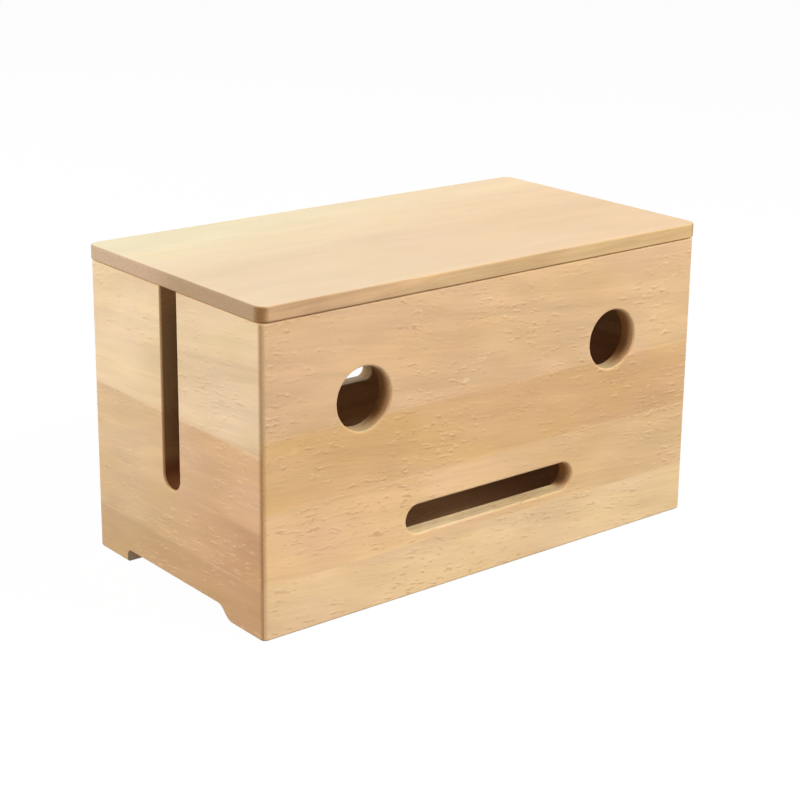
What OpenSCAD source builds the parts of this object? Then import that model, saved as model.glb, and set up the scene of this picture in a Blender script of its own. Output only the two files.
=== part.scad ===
// Cable management box: a mitred beech case that hides a power strip, with a grooved floor,
// two round outlets and a long slot in front, an open-topped cable slot in each end, a cable
// window behind, and a loose lid that two screwed battens keep in place.
// Frame: X along the front, +Y to the back, +Z up. The origin is the middle of the base.

/* [Case] */
// Length of the case along its front
case_w = 320; // [290:1:400]
// Depth of the case from front to back
case_d = 170; // [150:1:220]
// Height of the case without its lid
case_h = 176; // [165:1:220]
// Thickness of the wall boards
wall_t = 11.5; // [10:0.5:14]
// Radius of the upright outer corners
corner_r = 3.5; // [3:0.5:6]
// Radius that eases the long edges of the wall boards
edge_r = 1.5; // [1:0.1:2.5]

/* [Front openings] */
// Diameter of the two round cable outlets
eye_d = 36; // [25:0.5:45]
// Distance between the centres of the round outlets
eye_spacing = 186; // [140:1:210]
// Height of the outlets' centres above the base
eye_z = 123; // [100:0.5:135]
// Length of the long slot below the outlets
mouth_w = 126; // [80:1:170]
// Height of the long slot, which is also its cutter's diameter
mouth_h = 17; // [10:0.5:20]
// Height of the long slot's centre above the base
mouth_z = 45; // [38:0.5:60]
// Radius that eases the rim of every opening
rim_r = 1.5; // [0.5:0.1:2]

/* [Cable openings] */
// Width of the cable slot in each end
slot_w = 16; // [12:0.5:26]
// Height of the slot's rounded bottom above the base
slot_z = 60; // [45:1:90]
// How far the slot lies behind the middle of the end
slot_back = 3; // [0:0.5:12]
// Width of the cable window in the back
window_w = 74; // [50:1:110]
// Height of the cable window
window_h = 32; // [20:1:50]
// Height of the window's sill above the base
window_z = 69; // [50:1:90]
// Radius of the window's corners
window_r = 5; // [3:0.5:8]

/* [Feet] */
// Height of the air gap under each end
foot_h = 8; // [5:0.5:12]
// Length of the foot at the front of each end
front_foot = 28; // [18:1:45]
// Length of the foot at the back of each end
back_foot = 32; // [18:1:45]
// Radius of the curve that rises from the front foot
toe_r = 16; // [14:1:22]
// Radius with which that curve runs into the air gap
instep_r = 8; // [4:1:12]
// Radius where the back foot meets the air gap
heel_r = 4; // [2:0.5:5]

/* [Floor] */
// Thickness of the floor panel
floor_t = 5; // [3:0.5:6]
// Wood left between the air gap and the floor's groove
floor_rise = 3; // [2:0.5:6]
// Depth of the groove that holds the floor
groove_d = 5; // [3:0.5:6]
// Room left round the floor for the wood to move
floor_play = 0.4; // [0.2:0.1:0.8]

/* [Corner splines] */
// Thickness of the spline in each mitre
spline_t = 3; // [2:0.5:4]
// Width of the spline across the mitre
spline_w = 9; // [6:0.5:10]
// Distance from the inner corner to the spline
spline_in = 4; // [3:0.5:5]
// Glue room round each spline
spline_play = 0.1; // [0.05:0.05:0.2]
// How far the spline's ends lie below the ends of the mitre
spline_set = 0.4; // [0.2:0.1:1]

/* [Lid] */
// Thickness of the lid board
lid_t = 9; // [8:0.5:14]
// How far the lid stands out past the case on every side
lid_over = 1.25; // [0:0.25:3]
// Radius of the lid's corners seen from above
lid_r = 7; // [4:0.5:14]
// Radius that eases the lid's upper edges
lid_edge_r = 1.2; // [0.8:0.1:2.5]
// Radius that eases the lid's lower edges
lid_under_r = 1.3; // [0.5:0.1:2]

/* [Lid battens] */
// Width of each batten under the lid
batten_w = 16; // [12:1:24]
// Depth of each batten below the lid
batten_h = 10; // [8:0.5:16]
// Room between the battens and the walls
batten_play = 1; // [0.5:0.25:2]
// Radius that eases the battens' lower edges
batten_r = 1.5; // [0.5:0.25:3]

/* [Batten screws] */
// Diameter of the screws' shanks
screw_d = 3; // [2.5:0.25:3.5]
// Diameter of the countersunk heads
head_d = 6; // [5:0.25:7]
// Height of the countersunk heads
head_h = 2; // [1.5:0.25:3]
// How far the screws reach into the lid board
screw_bite = 6; // [3:0.5:7]
// Screws in each batten
screw_n = 3; // [2:1:4]
// Distance from a batten's end to its first screw
screw_end = 20; // [12:1:35]
// Room between a screw and its hole
screw_play = 0.05; // [0.05:0.05:0.2]

/* [Hidden] */
$fn = 64;
// How far a cutter runs past the face that it cuts
past = 1;
// Angle at which the front foot's curve leaves the base
toe_turn = 8;
inner_w = case_w - 2 * wall_t;
inner_d = case_d - 2 * wall_t;
floor_z = foot_h + floor_rise;
lid_w = case_w + 2 * lid_over;
lid_d = case_d + 2 * lid_over;
batten_x = inner_w / 2 - batten_play - batten_w / 2;
batten_len = inner_d - 2 * batten_play;
batten_z = case_h - batten_h;
screw_len = batten_h + screw_bite;
screw_span = batten_len - 2 * screw_end;
// Taper at the screws' points
point_h = screw_d;
beech_face = [0.87, 0.72, 0.56];
beech_end = [0.88, 0.75, 0.60];
beech_top = [0.93, 0.83, 0.66];
beech_inside = [0.80, 0.66, 0.50];
steel = [0.75, 0.76, 0.78];

// Waste outside a quarter round of radius r, in the square that it eases. The first
// coordinate runs out from a corner centre whose outline has the radius at, the second up.
module quarter_waste(at, r) {
    difference() {
        translate([at - r, -r]) square([r + past, r + past]);
        translate([at - r, -r]) circle(r = r);
    }
}

// Waste that squares leave outside a round corner of radius r
module corner_waste(r) {
    difference() {
        square([r + past, r + past]);
        circle(r = r);
    }
}

// Half section of a routed opening of radius r: the wall's full thickness and both eased rims
module bit_section(r) {
    translate([0, -past]) square([r, wall_t + 2 * past]);
    for (side = [0, 1]) {
        translate([0, side * wall_t]) mirror([0, side]) difference() {
            translate([0, -past]) square([r + rim_r, rim_r + past]);
            translate([r + rim_r, rim_r]) circle(r = rim_r);
        }
    }
}

// Cutter for a round outlet of radius r, centred on the outer face and running inward along Y
module bored(r) {
    rotate([-90, 0, 0]) rotate_extrude() bit_section(r);
}

// Cutter for an opening w wide and h high with corners of radius r, eased at both faces
module routed(w, h, r) {
    rotate([-90, 0, 0]) {
        for (x = [-1, 1], z = [-1, 1]) translate([x * (w / 2 - r), z * (h / 2 - r), 0])
            rotate([0, 0, atan2(z, x) - 45]) rotate_extrude(angle = 90) bit_section(r);
        if (w > 2 * r) for (turn = [0, 180]) rotate([0, 0, turn]) translate([0, h / 2 - r, 0])
            rotate([90, 0, 90]) linear_extrude(w - 2 * r, center = true) bit_section(r);
        if (h > 2 * r) for (turn = [90, 270]) rotate([0, 0, turn]) translate([0, w / 2 - r, 0])
            rotate([90, 0, 90]) linear_extrude(h - 2 * r, center = true) bit_section(r);
        if (w > 2 * r && h > 2 * r) translate([0, 0, -past]) linear_extrude(wall_t + 2 * past)
            square([w - 2 * r, h - 2 * r], center = true);
    }
}

// Waste along the outer edge of a wall of the given length, turning with its round corners
module outer_edge_waste(length) {
    translate([0, corner_r, 0]) rotate([90, 0, -90])
        linear_extrude(length - 2 * corner_r, center = true) quarter_waste(corner_r, edge_r);
    for (side = [-1, 1]) translate([side * (length / 2 - corner_r), corner_r, 0])
        rotate([0, 0, side > 0 ? -90 : 180]) rotate_extrude(angle = 90)
            quarter_waste(corner_r, edge_r);
}

// Plan of a wall board: outer face on the X axis, mitred ends, rounded outer corners
module wall_plan(length) {
    difference() {
        polygon([[-length / 2, 0], [length / 2, 0], [length / 2 - wall_t, wall_t],
            [wall_t - length / 2, wall_t]]);
        for (side = [-1, 1]) translate([side * (length / 2 - corner_r), corner_r])
            rotate([0, 0, side > 0 ? -90 : 180]) corner_waste(corner_r);
    }
}

// The spline at a mitre whose inner corner is the origin and whose outer corner lies along +X
module spline_bar(room, low, high) {
    translate([spline_in - room, -spline_w / 2 - room, low])
        cube([spline_t + 2 * room, spline_w + 2 * room, high - low]);
}

// A wall board of the given outer length, standing on z = 0 with its outer face at y = 0:
// mitred ends with spline slots, eased edges, and the floor's groove
module wall_board(length) {
    difference() {
        linear_extrude(case_h) wall_plan(length);
        translate([0, 0, case_h]) outer_edge_waste(length);
        mirror([0, 0, 1]) outer_edge_waste(length);
        translate([0, wall_t, case_h]) rotate([90, 0, 90])
            linear_extrude(length, center = true) quarter_waste(0, edge_r);
        translate([-length / 2, wall_t - groove_d, floor_z])
            cube([length, groove_d + past, floor_t + floor_play]);
        for (side = [0, 1]) mirror([side, 0, 0])
            translate([length / 2 - wall_t, wall_t, 0]) rotate([0, 0, -45])
                spline_bar(spline_play, -past, case_h + past);
    }
}

// Outline of the air gap below an end board whose front lies towards -X
module gap_outline() {
    toe = front_foot - case_d / 2;
    heel = case_d / 2 - back_foot;
    turn = acos((toe_r * cos(toe_turn) + instep_r - foot_h) / (toe_r + instep_r));
    bend = toe + toe_r * (sin(turn) - sin(toe_turn));
    instep = bend + instep_r * sin(turn);
    difference() {
        translate([toe, -past]) square([heel - toe, foot_h + past]);
        intersection() {
            translate([toe, 0]) square([bend - toe, foot_h]);
            translate([toe - toe_r * sin(toe_turn), toe_r * cos(toe_turn)]) circle(r = toe_r);
        }
        difference() {
            translate([bend, foot_h - instep_r * (1 - cos(turn))])
                square([instep - bend, instep_r * (1 - cos(turn))]);
            translate([instep, foot_h - instep_r]) circle(r = instep_r);
        }
        difference() {
            translate([heel - heel_r, foot_h - heel_r]) square(heel_r);
            translate([heel - heel_r, foot_h - heel_r]) circle(r = heel_r);
        }
    }
}

// The cuts in an end board whose front lies towards -X: cable slot and air gap
module end_cuts() {
    slot_len = case_h - slot_z + slot_w;
    translate([slot_back, 0, slot_z + slot_len / 2]) routed(slot_w, slot_len, slot_w / 2);
    translate([0, wall_t + past, 0]) rotate([90, 0, 0]) linear_extrude(wall_t + 2 * past)
        gap_outline();
}

// Plan of a board w by d with corners of radius r
module round_plan(w, d, r) {
    difference() {
        square([w, d], center = true);
        for (x = [-1, 1], y = [-1, 1]) translate([x * (w / 2 - r), y * (d / 2 - r)])
            rotate([0, 0, atan2(y, x) - 45]) corner_waste(r);
    }
}

// Ring of waste round the upper edge of such a board, its top at z = 0, eased by edge
module ring_waste(w, d, r, edge) {
    for (turn = [0, 180]) rotate([0, 0, turn]) translate([0, d / 2 - r, 0])
        rotate([90, 0, 90]) linear_extrude(w - 2 * r, center = true) quarter_waste(r, edge);
    for (turn = [90, 270]) rotate([0, 0, turn]) translate([0, w / 2 - r, 0])
        rotate([90, 0, 90]) linear_extrude(d - 2 * r, center = true) quarter_waste(r, edge);
    for (x = [-1, 1], y = [-1, 1]) translate([x * (w / 2 - r), y * (d / 2 - r), 0])
        rotate([0, 0, atan2(y, x) - 45]) rotate_extrude(angle = 90) quarter_waste(r, edge);
}

// The screws' places on a batten, from front to back
module at_screws() {
    for (i = [0:screw_n - 1]) translate([0, screw_span * (i / (screw_n - 1) - 0.5), 0])
        children();
}

// A countersunk screw standing on its head, grown by room all round
module screw_form(room) {
    cylinder(h = head_h, r1 = head_d / 2 + room, r2 = screw_d / 2 + room);
    cylinder(h = screw_len - point_h, r = screw_d / 2 + room);
    translate([0, 0, screw_len - point_h])
        cylinder(h = point_h, r1 = screw_d / 2 + room, r2 = screw_d / 8 + room);
}

module front_panel() {
    color(beech_face) translate([0, -case_d / 2, 0]) difference() {
        wall_board(case_w);
        for (side = [-1, 1]) translate([side * eye_spacing / 2, 0, eye_z]) bored(eye_d / 2);
        translate([0, 0, mouth_z]) routed(mouth_w, mouth_h, mouth_h / 2);
    }
}

module back_panel() {
    color(beech_face) translate([0, case_d / 2, 0]) rotate([0, 0, 180]) difference() {
        wall_board(case_w);
        translate([0, 0, window_z + window_h / 2]) routed(window_w, window_h, window_r);
    }
}

module left_end_panel() {
    color(beech_end) translate([-case_w / 2, 0, 0]) rotate([0, 0, -90]) difference() {
        wall_board(case_d);
        mirror([1, 0, 0]) end_cuts();
    }
}

module right_end_panel() {
    color(beech_end) translate([case_w / 2, 0, 0]) rotate([0, 0, 90]) difference() {
        wall_board(case_d);
        end_cuts();
    }
}

// The floor stands on the groove's lower side, and its corners are clipped clear of the splines
module floor_panel() {
    reach = 2 * (groove_d - floor_play);
    color(beech_inside) translate([0, 0, floor_z]) linear_extrude(floor_t) difference() {
        square([inner_w + reach, inner_d + reach], center = true);
        for (x = [-1, 1], y = [-1, 1]) translate([x * inner_w / 2, y * inner_d / 2])
            rotate(atan2(y, x)) translate([spline_in - spline_play - floor_play, -groove_d])
                square(2 * groove_d);
    }
}

module corner_spline(x, y) {
    color(beech_inside) translate([x * inner_w / 2, y * inner_d / 2, 0])
        rotate([0, 0, atan2(y, x)]) spline_bar(0, spline_set, case_h - spline_set);
}

module lid_board() {
    color(beech_top) translate([0, 0, case_h]) difference() {
        linear_extrude(lid_t) round_plan(lid_w, lid_d, lid_r);
        translate([0, 0, lid_t]) ring_waste(lid_w, lid_d, lid_r, lid_edge_r);
        mirror([0, 0, 1]) ring_waste(lid_w, lid_d, lid_r, lid_under_r);
        for (x = [-1, 1]) translate([x * batten_x, 0, -batten_h]) at_screws()
            screw_form(screw_play);
    }
}

module lid_batten(x) {
    color(beech_inside) translate([x * batten_x, 0, batten_z]) difference() {
        rotate([90, 0, 0]) linear_extrude(batten_len, center = true) difference() {
            translate([-batten_w / 2, 0]) square([batten_w, batten_h]);
            for (side = [0, 1]) mirror([side, 0]) translate([batten_w / 2, 0])
                mirror([0, 1]) quarter_waste(0, batten_r);
        }
        at_screws() screw_form(screw_play);
    }
}

module batten_screws() {
    color(steel) for (x = [-1, 1]) translate([x * batten_x, 0, batten_z]) at_screws()
        screw_form(0);
}

front_panel();
back_panel();
left_end_panel();
right_end_panel();
floor_panel();
corner_spline(-1, -1);  // front_left_spline
corner_spline(1, -1);  // front_right_spline
corner_spline(-1, 1);  // back_left_spline
corner_spline(1, 1);  // back_right_spline
lid_board();
lid_batten(-1);  // left_lid_batten
lid_batten(1);  // right_lid_batten
batten_screws();
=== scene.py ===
import math

import bpy
import numpy as np
from mathutils import Matrix, Vector


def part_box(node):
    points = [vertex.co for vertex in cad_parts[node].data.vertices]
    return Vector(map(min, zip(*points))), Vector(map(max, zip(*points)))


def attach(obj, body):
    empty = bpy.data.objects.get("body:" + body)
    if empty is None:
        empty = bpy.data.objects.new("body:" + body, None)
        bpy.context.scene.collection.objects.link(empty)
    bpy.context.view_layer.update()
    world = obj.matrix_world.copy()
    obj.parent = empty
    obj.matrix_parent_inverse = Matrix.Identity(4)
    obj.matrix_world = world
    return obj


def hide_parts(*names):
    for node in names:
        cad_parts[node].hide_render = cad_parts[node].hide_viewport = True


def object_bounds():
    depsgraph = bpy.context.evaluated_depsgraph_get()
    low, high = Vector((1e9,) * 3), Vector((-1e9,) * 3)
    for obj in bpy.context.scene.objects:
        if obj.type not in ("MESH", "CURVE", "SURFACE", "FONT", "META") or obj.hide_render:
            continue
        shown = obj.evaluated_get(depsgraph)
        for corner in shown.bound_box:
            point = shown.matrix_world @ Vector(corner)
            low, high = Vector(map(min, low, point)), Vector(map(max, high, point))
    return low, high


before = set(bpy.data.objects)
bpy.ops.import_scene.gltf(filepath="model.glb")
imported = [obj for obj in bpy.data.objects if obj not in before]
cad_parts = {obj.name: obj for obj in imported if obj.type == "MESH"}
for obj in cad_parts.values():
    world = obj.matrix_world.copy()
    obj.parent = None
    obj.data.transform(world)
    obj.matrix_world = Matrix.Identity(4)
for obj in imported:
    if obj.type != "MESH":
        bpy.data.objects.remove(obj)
packed_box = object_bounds()

# Front wall board. Beech staves are glued edge to edge, planed to one thickness and mitred; the
# round outlets are bored, the long slot is routed, and all rims are eased, sanded and oiled.
front_look = {
    "half": 0.16,
    "staves": ((0.0, (240, 204, 160), (227, 195, 152), (206, 168, 125)),
               (0.031, (237, 196, 150), (219, 183, 139), (198, 156, 110)),
               (0.071, (220, 178, 126), (208, 167, 122), (189, 146, 98)),
               (0.112, (223, 184, 143), (219, 183, 141), (191, 154, 110))),
    "merge": 0.0035,
    "edge": ((227, 203, 160), (227, 203, 160)),
    "fleck": (166, 106, 56),
}


def planed_copy(node, piece, body, finish):
    """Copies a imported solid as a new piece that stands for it. Corners of its loose triangles that
    share a place to a thousandth of a millimetre become one vertex, edges turning by more than
    the crisp angle stay sharp, and the rest is shaded as one smooth surface."""
    crisp_angle, decimals = math.radians(32), 6
    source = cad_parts[node].data
    places = np.empty(len(source.vertices) * 3, np.float32)
    source.vertices.foreach_get("co", places)
    corners = np.empty(len(source.loops), np.int32)
    source.loops.foreach_get("vertex_index", corners)
    places = places.reshape(-1, 3).round(decimals)
    joined, which = np.unique(places, axis=0, return_inverse=True)
    triangles = which.reshape(-1)[corners].reshape(-1, 3)
    whole = (triangles != np.roll(triangles, 1, axis=1)).all(axis=1)
    mesh = bpy.data.meshes.new(piece)
    mesh.from_pydata(joined.tolist(), [], triangles[whole].tolist())
    mesh.polygons.foreach_set("use_smooth", np.ones(len(mesh.polygons), bool))
    mesh.set_sharp_from_angle(angle=crisp_angle)
    mesh.materials.append(finish)
    board = bpy.data.objects.new(piece, mesh)
    bpy.context.scene.collection.objects.link(board)
    flat_faces = board.modifiers.new("flat faces stay flat", "WEIGHTED_NORMAL")
    flat_faces.keep_sharp = True
    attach(board, body)
    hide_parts(node)


def paint(red, green, blue):
    """A colour as a paint chart gives it, 0 to 255, turned into the linear light of a shader: each
    channel c, as a share of 255, becomes ((c + 0.055) / 1.055) to the power 2.4, or c / 12.92
    where it is almost black."""
    chart = np.array([red, green, blue]) / 255
    light = np.where(chart > 0.04045, ((chart + 0.055) / 1.055) ** 2.4, chart / 12.92)
    return (*light.tolist(), 1)


def shader_step(tree, kind, sockets=None, **settings):
    """Adds one node to a material. A socket given another node's output is linked to it, and one
    given a plain value is set to it. The settings are the node's own choices, such as its mode."""
    added = tree.nodes.new(kind)
    for name, value in settings.items():
        setattr(added, name, value)
    for name, value in (sockets or {}).items():
        if isinstance(value, bpy.types.NodeSocket):
            tree.links.new(value, added.inputs[name])
        else:
            added.inputs[name].default_value = value
    return added


def beech(name, look, lay, seed, lean=0.0, figure=1.0, edge_figure=1.6, flecked=1.0, roughness=0.5,
          corner_tint=(1.0, 1.0, 1.0), arris_shade_tint=(1.0, 1.0, 1.0), bored=None, cut_light_and_shade=()):
    """Oiled beech as a solid, so that a board's faces, edges and bores match. lay turns the board's
    own directions to X along the fibres, Y through the thickness and Z across the width. look
    gives half the board's length; its glued staves from the lowest up, each with its lower edge,
    which for the lowest is only a mark, its tones at the board's two ends and its darker tone
    where a surface cuts across the fibres; how far neighbouring tones merge on either side of a
    joint; the long edges' tones at the two ends; and the dark flecks' tone. The fibres climb by
    lean per length. figure, edge_figure and flecked scale the broad bands, also on the edges, and
    the flecks with their painted highlights. Two tints tell how far oil has browned the upright
    rounding where an edge turns into end grain, and how dark the rounding, or arris, between an
    edge and the underside is painted, as the shade of the seam beneath it. bored gives the end
    grain inside bores its painted light near the board's face and its painted shade deep inside,
    and the places through the thickness where the change begins and ends. cut_light_and_shade paints
    cut surfaces between two heights with a tone of painted light and shade, with a soft change over
    a third length."""
    material = bpy.data.materials.new(name)
    material.use_nodes = True
    tree = material.node_tree
    shader = tree.nodes["Principled BSDF"]

    def vector(operation, first, second):
        """One operation on two vectors, such as their sum, channel by channel."""
        sockets = {0: first, 1: second}
        return shader_step(tree, "ShaderNodeVectorMath", sockets, operation=operation).outputs[0]

    def number(operation, first, second=0.0, third=0.0):
        """One operation on up to three numbers: MULTIPLY_ADD is first times second plus third."""
        sockets = {0: first, 1: second, 2: third}
        return shader_step(tree, "ShaderNodeMath", sockets, operation=operation).outputs[0]

    def spread(value, low, high, to_low=0.0, to_high=1.0):
        """A soft change from to_low, where the value is low, to to_high, where it is high. With t
        for the share of the way, held between 0 and 1, it has gone t times t times (3 - 2 t)."""
        sockets = {"Value": value, "From Min": low, "From Max": high, "To Min": to_low,
                   "To Max": to_high}
        return shader_step(tree, "ShaderNodeMapRange", sockets,
                           interpolation_type="SMOOTHSTEP").outputs[0]

    def between(value, low, high, soft):
        """1 where the value is between low and high and 0 outside, each change soft metres long."""
        return number("MULTIPLY", spread(value, low, low + soft),
                      spread(value, high, high + soft, 1.0, 0.0))

    def fibres(place, length, thickness, width, detail):
        """Noise between 0 and 1 in blots of a length, thickness and width in metres, by which the
        place is divided first. detail is how many times finer noise is laid over it."""
        sizes = (1 / length, 1 / thickness, 1 / width)
        drawn_out = shader_step(tree, "ShaderNodeMapping", {"Vector": place, "Scale": sizes})
        sockets = {"Vector": drawn_out.outputs[0], "Scale": 1.0, "Detail": detail,
                   "Roughness": 0.55}
        return shader_step(tree, "ShaderNodeTexNoise", sockets).outputs[0]

    def bent(place, noise, reach):
        """A place moved to and fro by a noise, less its middle value, times the reach in metres."""
        to_and_fro = vector("SUBTRACT", noise, (0.5, 0.5, 0.5))
        return vector("ADD", place, vector("MULTIPLY", to_and_fro, reach))

    def blend(share, base, other, mode="MIX"):
        """A colour on the way from base, at share 0, to other, at share 1."""
        sockets = {"Factor": share, 6: base, 7: other}
        return shader_step(tree, "ShaderNodeMix", sockets, data_type="RGBA",
                           blend_type=mode).outputs[2]

    def tinted(share, base, tint):
        """A colour on the way from base, at share 0, to base times the tint, at share 1."""
        return blend(share, base, (*tint, 1.0), "MULTIPLY")

    def parts(place):
        """The three numbers of a vector: along the fibres, through the board and across it."""
        return shader_step(tree, "ShaderNodeSeparateXYZ", {0: place}).outputs

    coordinates = shader_step(tree, "ShaderNodeTexCoord").outputs
    laid = shader_step(tree, "ShaderNodeMapping", {"Vector": coordinates["Object"],
                                                   "Rotation": lay}).outputs[0]
    facing = shader_step(tree, "ShaderNodeMapping", {"Vector": coordinates["Normal"],
                                                     "Rotation": lay},
                         vector_type="VECTOR").outputs[0]
    along, through, across = parts(laid)
    fibre_cut, face_on, edge_on = parts(facing)

    # The staves. At each joint one tone goes over into the next, and a thin glue line shows.
    glue_half, glue_fades = 0.0001, 0.0007
    farther = spread(along, -look["half"], look["half"])
    lowest, *others = look["staves"]
    tone = blend(farther, paint(*lowest[1]), paint(*lowest[2]))
    end_tone, stave, glue = paint(*lowest[3]), 0.0, 0.0
    for joint, near_colour, far_colour, end_colour in others:
        above = spread(across, joint - look["merge"], joint + look["merge"])
        tone = blend(above, tone, blend(farther, paint(*near_colour), paint(*far_colour)))
        end_tone = blend(above, end_tone, paint(*end_colour))
        stave = number("ADD", number("GREATER_THAN", across, joint), stave)
        beside = number("ABSOLUTE", number("SUBTRACT", across, joint))
        glue = number("MAXIMUM", glue, spread(beside, glue_half, glue_fades, 1.0, 0.0))

    # Every stave is sawn from a place of its own in the same endless block of wood.
    farthest_place = (3.0, 3.0, 3.0)
    luck = shader_step(tree, "ShaderNodeTexWhiteNoise", {"W": number("ADD", stave, seed)},
                       noise_dimensions="1D").outputs
    climbing = number("MULTIPLY_ADD", along, -lean, across)
    fibre_place = shader_step(tree, "ShaderNodeCombineXYZ", {0: along, 1: through, 2: climbing})
    own = vector("MULTIPLY_ADD", luck["Color"], farthest_place)
    tree.links.new(fibre_place.outputs[0], own.node.inputs[2])
    swaying = fibres(own, length=0.12, thickness=0.05, width=0.06, detail=1.0)
    wavy = bent(own, swaying, reach=(0.0, 0.016, 0.016))

    # The figure: broad growth rings, fine streaks and soft clouds.
    rings = fibres(wavy, length=0.32, thickness=0.004, width=0.008, detail=2.0)
    streaks = fibres(wavy, length=0.05, thickness=0.0016, width=0.0016, detail=3.0)
    clouds = fibres(own, length=0.07, thickness=0.04, width=0.026, detail=2.0)

    # The flecks: short curly fibres in crowds, each with a painted highlight just above its dark
    # one, as the lit side of the same hollow.
    crowded, sparse, fleck_sharpness = (0.38, 0.62), 0.15, (0.55, 0.72)
    fleck_size = {"length": 0.0085, "thickness": 0.0017, "width": 0.0017, "detail": 2.0}
    crowding = fibres(own, length=0.045, thickness=0.03, width=0.03, detail=1.0)
    crowding = spread(crowding, *crowded, sparse, 1.0)
    curling = fibres(own, length=0.007, thickness=0.004, width=0.004, detail=1.0)
    curly = bent(wavy, curling, reach=(0.0, 0.0026, 0.0026))
    lit_side_place = vector("ADD", curly, (0.0, 0.0, -0.0011))
    dark_flecks = spread(fibres(curly, **fleck_size), *fleck_sharpness)
    fleck_highlights = spread(fibres(lit_side_place, **fleck_size), *fleck_sharpness)
    dark_flecks = number("MULTIPLY", dark_flecks, crowding)
    fleck_highlights = number("MULTIPLY", fleck_highlights, crowding)

    # Long edges have a tone of their own, and a stronger figure. From here on, ranges that end in
    # _turn tell how squarely a surface faces a way where one look goes over into another.
    usual, gentle = (0.3, 0.7), (0.35, 0.65)
    edge_turn, edge_share = (0.35, 0.85), 0.9
    ring_bands, streak_bands, cloud_bands = (-0.05, 0.04), (-0.03, 0.03), (-0.07, 0.05)
    warmest, warm_tint, yellow_tint = 0.24, (1.0, 0.90, 0.84), (1.0, 1.0, 0.91)
    on_edge = spread(number("ABSOLUTE", edge_on), *edge_turn)
    edge_tone = blend(farther, paint(*look["edge"][0]), paint(*look["edge"][1]))
    tone = blend(number("MULTIPLY", on_edge, edge_share), tone, edge_tone)
    fine_bands = spread(streaks, *usual, *streak_bands)
    bands = number("ADD", spread(rings, *usual, *ring_bands), fine_bands)
    bands = number("ADD", bands, spread(clouds, *usual, *cloud_bands))
    strength = number("MULTIPLY_ADD", on_edge, edge_figure, figure)
    light = number("MULTIPLY_ADD", bands, strength, 1.0)
    warm = number("MULTIPLY", spread(clouds, *usual, warmest, 0.0), strength)
    tone = tinted(warm, tone, warm_tint)
    yellower = fibres(own, length=0.06, thickness=0.05, width=0.03, detail=1.0)
    tone = tinted(spread(yellower, *gentle, 0.0, figure), tone, yellow_tint)
    tone = vector("SCALE", tone, (0.0, 0.0, 0.0))
    tree.links.new(light, tone.node.inputs["Scale"])

    # Flecks, their painted highlights and glue lines lie over the figure.
    highlight_share, dark_share, glue_share = 0.34 * flecked, 0.40 * flecked, 0.18 * flecked
    highlight_tone, glue_tone = (1.0, 0.76, 0.48, 1.0), (1.0, 0.78, 0.50, 1.0)
    # Painted highlight on the lit side of each fleck's hollow.
    tone = blend(number("MULTIPLY", fleck_highlights, highlight_share), tone, highlight_tone)
    tone = blend(number("MULTIPLY", dark_flecks, dark_share), tone, paint(*look["fleck"]))
    glue = number("MULTIPLY", glue, crowding)
    tone = blend(number("MULTIPLY", glue, glue_share), tone, glue_tone)

    # End grain with its open pores. Inside bores it is painted lighter near the face and darker deep
    #     inside, as painted light and shade, which stays clear of the mitred corners.
    cut_turn, bore_turn, rim_turn = (0.06, 0.75), (0.0, 0.35), (0.55, 0.95)
    mitre_starts, mitre_full, pore_bands = 0.008, 0.005, (0.86, 1.08)
    pores = fibres(own, length=0.002, thickness=0.0007, width=0.0007, detail=2.0)
    cut = spread(number("ABSOLUTE", fibre_cut), *cut_turn)
    squarely = number("ABSOLUTE", face_on)
    in_bore = spread(squarely, *bore_turn, 1.0, 0.0)
    if bored:
        outer, deep, begins, ends = bored
        # Painted light near the face and painted shade deep inside the bore.
        bore_light_and_shade_tone = blend(spread(through, begins, ends), paint(*outer), paint(*deep))
        off_corner = spread(number("ABSOLUTE", along), look["half"] - mitre_starts,
                            look["half"] - mitre_full, 1.0, 0.0)
        in_rim = number("MULTIPLY", spread(squarely, *rim_turn, 1.0, 0.0), off_corner)
        end_tone = blend(in_rim, end_tone, bore_light_and_shade_tone)
    end_tone = blend(1.0, end_tone, spread(pores, *gentle, *pore_bands), "MULTIPLY")
    tone = blend(cut, tone, end_tone)

    # Roundings that oil has browned, painted shade on the arris under an edge, and cut surfaces
    # painted with light and shade between two heights.
    corner_turn, arris_turn, flat_turn = (0.08, 0.50), (0.30, 0.80), (0.93, 0.99)
    corner = number("ABSOLUTE", number("MULTIPLY", fibre_cut, edge_on))
    tone = tinted(spread(corner, *corner_turn), tone, corner_tint)
    # Painted light and shade: cut surfaces between two heights are painted one tone each.
    for low, high, soft, painted_cut_colour in cut_light_and_shade:
        there = number("MULTIPLY", between(across, low, high, soft), in_bore)
        tone = blend(there, tone, paint(*painted_cut_colour))
    # Painted shade: the arris between an edge and the underside is darkened as the shade of the seam
    # beneath it.
    arris = number("MULTIPLY", spread(face_on, *arris_turn), spread(face_on, *flat_turn, 1.0, 0.0))
    tone = tinted(arris, tone, arris_shade_tint)
    tree.links.new(tone, shader.inputs["Base Color"])

    # Streaks polish a little unevenly, and flecks and glue lines are shallow hollows.
    smoother, rougher, streak_height, hollow_depth = 0.05, 0.06, 0.5, 0.00008
    worn = spread(streaks, *usual, roughness - smoother, roughness + rougher)
    tree.links.new(worn, shader.inputs["Roughness"])
    shader.inputs["Specular IOR Level"].default_value = 0.35
    hollows = number("ADD", dark_flecks, glue)
    height = number("SUBTRACT", number("MULTIPLY", streaks, streak_height), hollows)
    relief = shader_step(tree, "ShaderNodeBump", {"Height": height, "Strength": 0.4,
                                                  "Distance": hollow_depth})
    tree.links.new(relief.outputs[0], shader.inputs["Normal"])
    return material


# In the front and back boards, grain, thickness and width already lie along X, Y and Z.
upright_board = (0.0, 0.0, 0.0)
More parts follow.
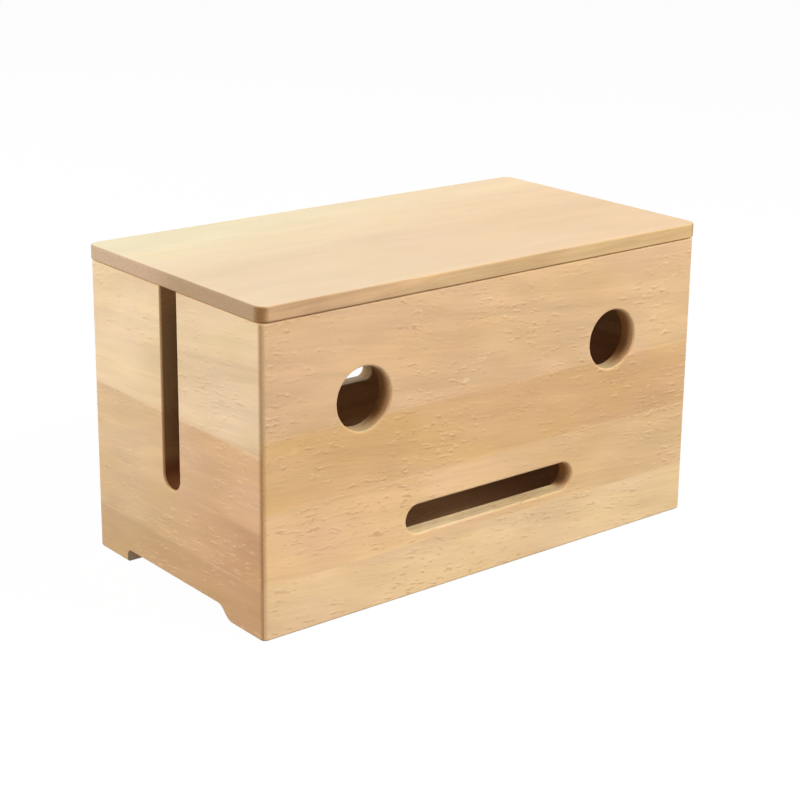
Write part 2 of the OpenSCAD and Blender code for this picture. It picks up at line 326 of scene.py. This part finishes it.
# Inside the round outlets and the slot the end grain is painted lighter near the face and darker
# deep inside, as painted light and shade.
front_bore_light_and_shade = ((238, 192, 142), (180, 132, 82), -0.0850, -0.0780)
front_beech = beech("front oiled beech", front_look, upright_board, seed=3.0, lean=-0.11,
                    bored=front_bore_light_and_shade)
planed_copy("front_panel", "front_wall", "case", front_beech)

# Back wall board. The same glued beech as the front, with a window routed through it, so that
# the power strip's own lead can leave behind the box.
back_look = dict(front_look, staves=(
    (0.0, (228, 188, 138), (222, 182, 134), (170, 132, 94)),
    (0.038, (230, 194, 148), (236, 200, 152), (180, 144, 104)),
    (0.085, (226, 184, 134), (218, 176, 128), (170, 132, 92)),
    (0.131, (226, 188, 142), (232, 194, 146), (176, 140, 100))))
# Inside the window the end grain is painted lighter near the face and darker deep inside, as painted
# light and shade.
window_light_and_shade = ((214, 172, 126), (180, 138, 94), 0.0850, 0.0780)
back_beech = beech("back oiled beech", back_look, upright_board, seed=11.0, lean=0.04,
                   bored=window_light_and_shade)
planed_copy("back_panel", "back_wall", "case", back_beech)

# End wall boards. Beech laid with its grain from front to back, with a slot that is open at the
# # top for laying cables in, and an air gap in the lower edge, which leaves two feet. The slot's
# # closed end is painted dark as painted shade, and the cut surfaces around the air gap are
# # painted pale as painted light.
# The staves are darker towards the front, partly the wood's own tone and partly painted shade.
end_look = dict(front_look, half=0.085, fleck=(186, 134, 86),
                edge=((214, 172, 126), (214, 172, 126)), staves=(
    (0.0, (190, 148, 108), (200, 163, 121), (176, 132, 90)),
    (0.029, (198, 154, 114), (218, 184, 143), (166, 122, 80)),
    (0.061, (212, 170, 131), (218, 185, 148), (168, 121, 77)),
    (0.104, (224, 196, 160), (231, 203, 167), (174, 133, 90))))
end_board = (0.0, 0.0, math.radians(-90))
# Painted light: cut surfaces around the air gap and under the feet are painted pale, as if lit.
air_gap_painted_light = (-0.02, 0.010, 0.003, (222, 194, 158))
# Painted shade: the slot's closed end is painted dark brown where it lies in shade.
slot_end_painted_shade = (0.050, 0.069, 0.012, (116, 68, 38))
end_beech = beech("end oiled beech", end_look, end_board, seed=5.0, lean=-0.10, flecked=0.85,
                  cut_light_and_shade=(air_gap_painted_light, slot_end_painted_shade))
for side in ("left", "right"):
    planed_copy(side + "_end_panel", side + "_end_wall", "case", end_beech)

# Corner splines. Thin beech tongues glued into slots in the mitres; they hide inside the corners
# and only their ends could be seen, just below the walls' edges.
spline_look = dict(front_look, staves=((-0.5, (205, 166, 122), (205, 166, 122), (170, 132, 92)),))
upright_grain = (0.0, math.radians(90), 0.0)
spline_beech = beech("plain beech spline", spline_look, upright_grain, seed=17.0, roughness=0.6)
for corner in ("front_left", "front_right", "back_left", "back_right"):
    planed_copy(corner + "_spline", corner + "_tongue", "case", spline_beech)

# Floor panel. A thin beech-faced plywood sheet that slides into grooves in all four walls before
# the last one is glued on, and floats there.
floor_look = dict(front_look, staves=((-0.5, (200, 154, 110), (204, 158, 114), (160, 120, 82)),))
flat_board = (math.radians(90), 0.0, 0.0)
floor_ply = beech("beech-faced plywood", floor_look, flat_board, seed=23.0, roughness=0.62)
planed_copy("floor_panel", "floor_sheet", "case", floor_ply)

# Lid board. Pale, wide beech staves glued edge to edge, with the grain along the box, rounded
# # corners and eased edges. Its two ends show dark end grain, oil has browned its upright corner
# # roundings, and the arris under its edges is painted dark as the shade of the seam below it.
# The stave tones grow lighter towards the back and the left end, partly the wood's own tone and
# partly painted light.
lid_look = dict(front_look, merge=0.022, edge=((206, 167, 125), (193, 160, 112)), staves=(
    (-0.5, (222, 197, 163), (222, 190, 153), (173, 143, 108)),
    (0.008, (231, 211, 174), (229, 197, 159), (198, 165, 134)),
    (0.049, (230, 217, 182), (235, 209, 170), (198, 168, 137))))
lid_beech = beech("lid oiled beech", lid_look, flat_board, seed=37.0, figure=0.38,
                  edge_figure=1.9, flecked=0.25, corner_tint=(0.66, 0.50, 0.30),
                  arris_shade_tint=(0.70, 0.48, 0.27))
planed_copy("lid_board", "lid_cover", "lid", lid_beech)

# Lid battens. Two beech strips that run from front to back under the lid, keep it flat, and
# drop just inside the end walls, so that the lid can't slide off.
batten_look = dict(front_look, staves=((-0.5, (222, 184, 138), (218, 180, 134), (176, 138, 98)),))
batten_beech = beech("batten beech", batten_look, end_board, seed=41.0, roughness=0.55)
for side in ("left", "right"):
    planed_copy(side + "_lid_batten", side + "_batten_strip", "lid", batten_beech)

# Batten screws. Zinc-plated countersunk wood screws, three through each batten into the lid,
# with a pressed cross recess in the head and a rolled thread that ends in a point.
shank_r, head_r, head_h, head_rim = 0.0015, 0.003, 0.002, 0.0001
screw_len, point_h, blunt_h, blunt_share = 0.016, 0.003, 0.0002, 0.15
thread_pitch, thread_h, thread_sharpness = 0.0012, 0.0004, 3
recess_r, recess_depth, recess_curve = 0.0017, 0.0014, 0.6
recess_arm, recess_wall = 0.00042, 0.00012
screw_end, screws_per_batten = 0.020, 3


def screw_surface(around=48, head_rings=16, turn_rings=6):
    """A screw standing on its head at the origin, as rings of points round the Z axis. The outline
    runs over the head from its middle, up the countersink and along the shank to the point.
    The recess sinks two crossed arms into the head, by its depth times a power of the share of
    the way in from its end. The thread's crest climbs one pitch in each turn, as a power of the
    cosine of half that turn, and the shank is cut back by the thread's height elsewhere."""
    turn = np.linspace(0, 2 * np.pi, around, endpoint=False)
    thread_rings = int(turn_rings * (screw_len - head_h) / thread_pitch)
    shank_z = np.linspace(head_h, screw_len - blunt_h, thread_rings)
    taper = np.clip((screw_len - shank_z) / point_h, blunt_share, 1)
    face_r = np.linspace(0, head_r - head_rim, head_rings)[1:]
    outline_r = np.concatenate([face_r, [head_r], shank_r * taper])
    outline_z = np.concatenate([face_r * 0, [head_rim], shank_z])
    on_face = np.arange(len(outline_r)) < len(face_r)
    threaded = np.arange(len(outline_r)) > len(face_r)
    rings = outline_r[:, None] * np.ones(around)
    climb = outline_z[:, None] / thread_pitch - turn / (2 * np.pi)
    crest = np.abs(np.cos(np.pi * climb)) ** thread_sharpness
    rings -= threaded[:, None] * thread_h * (1 - crest) * (rings / shank_r)
    x, y = rings * np.cos(turn), rings * np.sin(turn)
    arms = np.clip((recess_arm - np.minimum(np.abs(x), np.abs(y))) / recess_wall, 0, 1)
    sunk = recess_depth * arms * np.clip(1 - rings / recess_r, 0, 1) ** recess_curve
    z = outline_z[:, None] + np.where(on_face[:, None], sunk, 0)
    points = np.stack([x, y, z], axis=2).reshape(-1, 3)
    points = np.vstack([[0, 0, recess_depth], points, [0, 0, screw_len]])
    spot = np.arange(len(points) - 2).reshape(z.shape) + 1
    after = np.roll(spot, -1, axis=1)
    quads = np.stack([spot[:-1], spot[1:], after[1:], after[:-1]], axis=2).reshape(-1, 4)
    head_fan = np.stack([np.zeros(around, int), spot[0], after[0]], axis=1)
    point_fan = np.stack([np.full(around, len(points) - 1), after[-1], spot[-1]], axis=1)
    return points, quads, np.vstack([head_fan, point_fan])


def zinc(name):
    """Bright zinc plating: metal whose colour and polish both follow one faint cloudy noise."""
    clouds_per_metre, brightest, dullest = 900.0, 0.24, 0.42
    bluish, yellowish = paint(196, 198, 204), paint(224, 224, 220)
    material = bpy.data.materials.new(name)
    material.use_nodes = True
    tree = material.node_tree
    shader = tree.nodes["Principled BSDF"]
    coordinates = shader_step(tree, "ShaderNodeTexCoord").outputs
    clouds = shader_step(tree, "ShaderNodeTexNoise", {"Vector": coordinates["Object"],
                                                      "Scale": clouds_per_metre,
                                                      "Detail": 3.0}).outputs[0]
    tint = shader_step(tree, "ShaderNodeMix", {"Factor": clouds, 6: bluish, 7: yellowish},
                       data_type="RGBA")
    polish = shader_step(tree, "ShaderNodeMapRange", {"Value": clouds, "To Min": brightest,
                                                      "To Max": dullest})
    tree.links.new(tint.outputs[2], shader.inputs["Base Color"])
    tree.links.new(polish.outputs[0], shader.inputs["Roughness"])
    shader.inputs["Metallic"].default_value = 1.0
    return material


def lid_screws():
    """All the screws as one mesh, each a shifted copy of the one screw's points and faces. They
    stand evenly spread along the middle of each batten, the outer two a little inside its ends."""
    crisp_angle = math.radians(40)
    one, quads, fans = screw_surface()
    places = []
    for batten in ("left_lid_batten", "right_lid_batten"):
        low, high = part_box(batten)
        for share in np.linspace(0, 1, screws_per_batten):
            reach = high.y - low.y - 2 * screw_end
            places.append(((low.x + high.x) / 2, low.y + screw_end + share * reach, low.z))
    points = np.vstack([one + place for place in places])
    step = np.arange(len(places))[:, None, None] * len(one)
    faces = (quads + step).reshape(-1, 4).tolist() + (fans + step).reshape(-1, 3).tolist()
    mesh = bpy.data.meshes.new("lid_screws")
    mesh.from_pydata(points.tolist(), [], faces)
    mesh.polygons.foreach_set("use_smooth", np.ones(len(mesh.polygons), bool))
    mesh.set_sharp_from_angle(angle=crisp_angle)
    mesh.materials.append(zinc("zinc-plated steel"))
    screws = bpy.data.objects.new("lid_screws", mesh)
    bpy.context.scene.collection.objects.link(screws)
    return screws


screws = lid_screws()
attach(screws, "lid")
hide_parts("batten_screws")


# The table that the box stands on: a wide, pale, matt sheet, which isn't part of the object. It
# throws some light up on the box and takes its soft shadow.
def table_top(reach, below_feet=0.0001):
    """One square sheet just below the box's feet, from minus to plus reach both ways."""
    mesh = bpy.data.meshes.new("table")
    corners = np.array([[-1, -1, 0], [1, -1, 0], [1, 1, 0], [-1, 1, 0]]) * reach
    mesh.from_pydata((corners - (0, 0, below_feet)).tolist(), [], [(0, 1, 2, 3)])
    sheet = bpy.data.objects.new("table", mesh)
    bpy.context.scene.collection.objects.link(sheet)
    return sheet


def white_when_seen(tree):
    """The share that a surface shows of plain backdrop white: 1 where the camera sees it, also in
    a mirror or through glass, and 0 where it only lights something."""
    path = shader_step(tree, "ShaderNodeLightPath").outputs
    share = path["Is Camera Ray"]
    for ray in ("Is Glossy Ray", "Is Transmission Ray"):
        share = shader_step(tree, "ShaderNodeMath", {0: share, 1: path[ray]},
                            operation="MAXIMUM").outputs[0]
    return share


def pale_table(name, grey=(0.30, 0.30, 0.30, 1.0), seen_white=0.88, its_level=1.10):
    """A matt grey surface, which lights the box as such. Seen directly it is the backdrop's white:
    mostly its own white glow, with a small share of the grey that keeps the box's soft shadow.
    From below it is clear, so that the box's underside can be seen."""
    material = bpy.data.materials.new(name)
    material.use_nodes = True
    tree = material.node_tree
    matt = shader_step(tree, "ShaderNodeBsdfDiffuse", {"Color": grey})
    white = shader_step(tree, "ShaderNodeEmission", {"Strength": its_level})
    share = shader_step(tree, "ShaderNodeMath", {0: white_when_seen(tree), 1: seen_white},
                        operation="MULTIPLY").outputs[0]
    mixed = shader_step(tree, "ShaderNodeMixShader", {0: share, 1: matt.outputs[0],
                                                      2: white.outputs[0]})
    underside = shader_step(tree, "ShaderNodeNewGeometry").outputs["Backfacing"]
    clear = shader_step(tree, "ShaderNodeBsdfTransparent")
    mixed = shader_step(tree, "ShaderNodeMixShader", {0: underside, 1: mixed.outputs[0],
                                                      2: clear.outputs[0]})
    tree.links.new(mixed.outputs[0], tree.nodes["Material Output"].inputs["Surface"])
    return material


table = table_top(reach=6.0)
table.data.materials.append(pale_table("pale table"))


# Studio light: a dim pale room, a large soft lamp high on the left, almost in line with the
# front, which brings out its grain, another high in front of the right end, and a weak one behind.
def pale_room(level, white=(1.0, 1.0, 1.0, 1.0)):
    """The world as a plain white backdrop where it is seen, and as an even light elsewhere."""
    world = bpy.data.worlds.new("pale room")
    bpy.context.scene.world = world
    world.use_nodes = True
    tree = world.node_tree
    glow = shader_step(tree, "ShaderNodeBackground", {"Color": white, "Strength": level})
    backdrop = shader_step(tree, "ShaderNodeBackground", {"Color": white})
    mixed = shader_step(tree, "ShaderNodeMixShader", {0: white_when_seen(tree),
                                                      1: glow.outputs[0],
                                                      2: backdrop.outputs[0]})
    tree.links.new(mixed.outputs[0], tree.nodes["World Output"].inputs["Surface"])


def soft_lamp(name, place, size, power):
    """A square lamp of a size in metres and a power in watts, which shines on the middle of the
    box. It isn't mirrored in the box, as if through a polarising sheet, so that no side of the
    box has a glaring patch."""
    lamp = bpy.data.lights.new(name, "AREA")
    lamp.size = size
    lamp.energy = power
    holder = bpy.data.objects.new(name, lamp)
    holder.visible_glossy = False
    bpy.context.scene.collection.objects.link(holder)
    middle = (Vector(packed_box[0]) + Vector(packed_box[1])) / 2
    aim = (middle - Vector(place)).to_track_quat("-Z", "Y")
    holder.matrix_world = Matrix.Translation(place) @ aim.to_matrix().to_4x4()


pale_room(level=0.15)
soft_lamp("left lamp", (-1.70, 0.02, 0.92), size=1.0, power=28.0)
soft_lamp("front lamp", (0.81, -1.30, 1.22), size=0.6, power=37.0)
soft_lamp("back lamp", (-0.40, 1.85, 0.90), size=0.9, power=11.0)

# The camera stands to the front and left of the box, a little above its lid, and looks down on
# it. Its frame is shifted down a little, so that the upright edges stay almost upright.
turn_left, look_down, tilt = math.radians(-39.04), math.radians(16.24), math.radians(0.62)
camera_place = (-0.6836, -0.8426, 0.4413)
lens = bpy.data.cameras.new("camera")
lens.sensor_width = 36.0
lens.lens = 85.29
lens.shift_y = -0.0875
camera = bpy.data.objects.new("camera", lens)
bpy.context.scene.collection.objects.link(camera)
swing = Matrix.Rotation(turn_left, 4, "Z") @ Matrix.Rotation(math.pi / 2 - look_down, 4, "X")
camera.matrix_world = Matrix.Translation(camera_place) @ swing @ Matrix.Rotation(tilt, 4, "Z")
bpy.context.scene.camera = camera
bpy.context.scene.view_settings.view_transform = "Standard"
